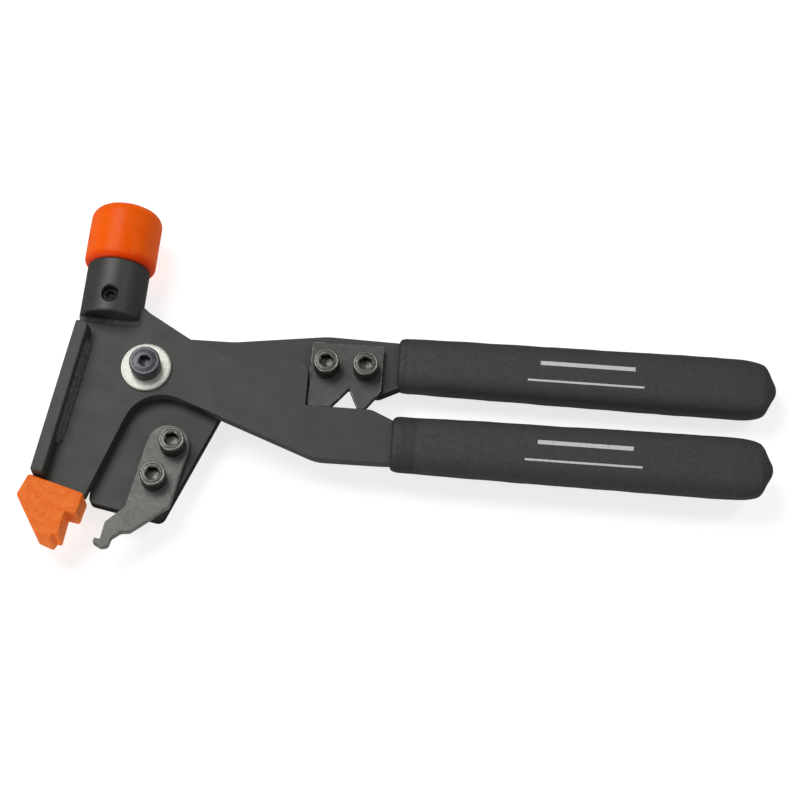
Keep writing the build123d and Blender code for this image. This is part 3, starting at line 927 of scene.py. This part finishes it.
def between(table, share):
    """A row of the table at a share of the way, on a smooth curve through its rows."""
    last = len(table) - 1
    i = max(k for k in range(last) if table[k][0] <= share)
    near, far = table[i], table[i + 1]
    gap = far[0] - near[0]
    t = (share - near[0]) / gap
    row = []
    for column in range(1, len(near)):
        before = table[max(i - 1, 0)]
        after = table[min(i + 2, last)]
        rate_near = (far[column] - before[column]) / (far[0] - before[0]) * gap
        rate_far = (after[column] - near[column]) / (after[0] - near[0]) * gap
        row.append(
            (2 * t ** 3 - 3 * t ** 2 + 1) * near[column]
            + (t ** 3 - 2 * t ** 2 + t) * rate_near
            + (3 * t ** 2 - 2 * t ** 3) * far[column]
            + (t ** 3 - t ** 2) * rate_far
        )
    return row


def grip_ring(share, length, half_width, half_thickness):
    """The grip's outline across it: a box with well rounded corners."""
    wide, thick = between(GRIP_SHAPE, share)
    ring = []
    for i in range(GRIP_POINTS):
        angle = tau * i / GRIP_POINTS
        across = abs(cos(angle) / (half_width * wide)) ** GRIP_CORNER
        upright = abs(sin(angle) / (half_thickness * thick)) ** GRIP_CORNER
        reach = (across + upright) ** (-1 / GRIP_CORNER)
        ring.append(Vector((length * share, reach * cos(angle), reach * sin(angle))))
    return ring


def grip(node, body, mouth_shade_length, seed):
    """Dipped vinyl grip, a little uneven, with a flat-cut mouth and a blunt nose.
    It is darker for mouth_shade_length, as painted shade near the mouth."""
    low, high = span(node)
    size = high - low
    shares = []
    for i in range(GRIP_STATIONS + 1):
        t = i / GRIP_STATIONS
        shares.append(t - GRIP_CROWDING * sin(tau * t) / tau)
    rings = [grip_ring(share, size.x, size.y / 2, size.z / 2) for share in shares]
    widest = rings[GRIP_STATIONS // 2]

    def coat(band, column):
        along = size.x * shares[band]
        across = widest[column].y
        if along < mouth_shade_length:
            return MOUTH_SHADE
        on_top = column < GRIP_POINTS / 2
        for start, end, middle, thickness in PRINTED_RULES:
            if on_top and start < along < end and abs(across - middle) < thickness / 2:
                return PRINT
        return BODY

    mesh = skin(rings, coat)
    ruffle(mesh, size=9.0, depth=0.16, seed=seed)
    ruffle(mesh, size=1.6, depth=0.05, seed=seed)
    middle = middle_of(node)
    place = Matrix.Translation((low.x - UNEVEN, middle.y, middle.z))
    piece(node, mesh, place, body, [VINYL, VINYL_MOUTH_SHADE, INK], smooth=SOFT)


# ---- lights and floor ---------------------------------------------------------------------------
FLOOR_R = 4.0
FLOOR_GAP = 0.0003           # how far it lies below the tool
FLOOR_GLOW = 0.75
FLOOR_POINTS = 96
SKY_GLOW = 0.18


def soft_light(name, place, width, power_w):
    """A round lamp that faces the aim. Its place is measured from there."""
    data = bpy.data.lights.new(name, "AREA")
    data.shape = "DISK"
    data.size = width
    data.energy = power_w
    light = bpy.data.objects.new(name, data)
    light.location = aim + Vector(place)
    light.rotation_mode = "QUATERNION"
    light.rotation_quaternion = Vector(place).to_track_quat("Z", "Y")
    bpy.context.scene.collection.objects.link(light)


def make_floor():
    """Pale table with a glow of its own, which no glossy surface shows."""
    finish = Finish("floor", 0.9, specular=0.1)
    cloud = finish.ramp(finish.noise(120, 2), 0.3, 0.7)
    finish.colour(finish.mix(cloud, (0.45, 0.45, 0.45), (0.47, 0.47, 0.47)))
    finish.shader.inputs["Emission Color"].default_value = (1.0, 1.0, 1.0, 1.0)
    finish.shader.inputs["Emission Strength"].default_value = FLOOR_GLOW
    mesh = bmesh.new()
    bmesh.ops.create_circle(mesh, cap_ends=True, radius=FLOOR_R, segments=FLOOR_POINTS)
    data = bpy.data.meshes.new("floor")
    mesh.to_mesh(data)
    mesh.free()
    data.materials.append(finish.material)
    floor = bpy.data.objects.new("floor", data)
    floor.location.z = -FLOOR_GAP
    floor.visible_glossy = False
    bpy.context.scene.collection.objects.link(floor)


def make_studio():
    scene = bpy.context.scene
    scene.view_settings.view_transform = "Standard"
    world = bpy.data.worlds.new("studio")
    world.use_nodes = True
    sky = world.node_tree.nodes["Background"]
    sky.inputs["Color"].default_value = (1.0, 1.0, 0.97, 1.0)
    sky.inputs["Strength"].default_value = SKY_GLOW
    scene.world = world
    soft_light("key", (-0.46, 0.38, 0.92), width=0.7, power_w=7.1)
    soft_light("right", (0.70, 0.20, 0.95), width=0.35, power_w=2.3)
    soft_light("left", (-1.25, 0.10, 0.60), width=0.5, power_w=0.4)
    soft_light("front", (-0.70, -0.95, 0.35), width=0.5, power_w=3.5)
    make_floor()


make_studio()

# ---- the tool -----------------------------------------------------------------------------------
dress("front_lever", PAINT_LIT_WALLS, WORN_PAINT, width=0.18)
dress("rear_lever", REAR_PAINT_SHADED_WALLS, WORN_PAINT, width=0.10)
dress("edge_bar", BAR, BAR_EDGE, width=0.10)
dress("hook_blade", HOOK, HOOK_EDGE, width=0.12)
dress("cutter_blade", CUTTER, CUTTER_EDGE_WORN_AND_LIT, width=0.32)
dress("nose_foot", FOOT_ORANGE, FOOT_ORANGE, width=0.10)
dress("hammer_socket", TURNED, TURNED, width=0.10)
dress("face_set_screw", OXIDE_SHADED, OXIDE_SHADED, width=0.10)
dress("foot_screw_upper", OXIDE, OXIDE_RIM, width=0.10)
dress("foot_screw_lower", OXIDE, OXIDE_RIM, width=0.10)
dress("nut_insert", NYLON, NYLON, width=0.15)
for cap_node, cap_turn in CAP_SCREW_TURNS.items():
    cap_screw(cap_node, cap_turn)
pivot_screw()
washer("pivot_washer_front", NICKEL, SHOULDER_BORE, rim=0.55, drop=0.12)
washer("thrust_washer", BRONZE, SHOULDER_BORE, rim=0.2, drop=0.05)
washer("pivot_washer_rear", NICKEL, THREAD_BORE, rim=0.6, drop=0.25)
lock_nut()
hammer_face()
bar_weld("bar_weld_front", side=1)
bar_weld("bar_weld_rear", side=-1)
socket_weld("socket_weld_front", side=1)
socket_weld("socket_weld_rear", side=-1)
grip("upper_grip", REAR, mouth_shade_length=3.0, seed=3.7)
grip("lower_grip", FRONT, mouth_shade_length=8.9, seed=11.3)
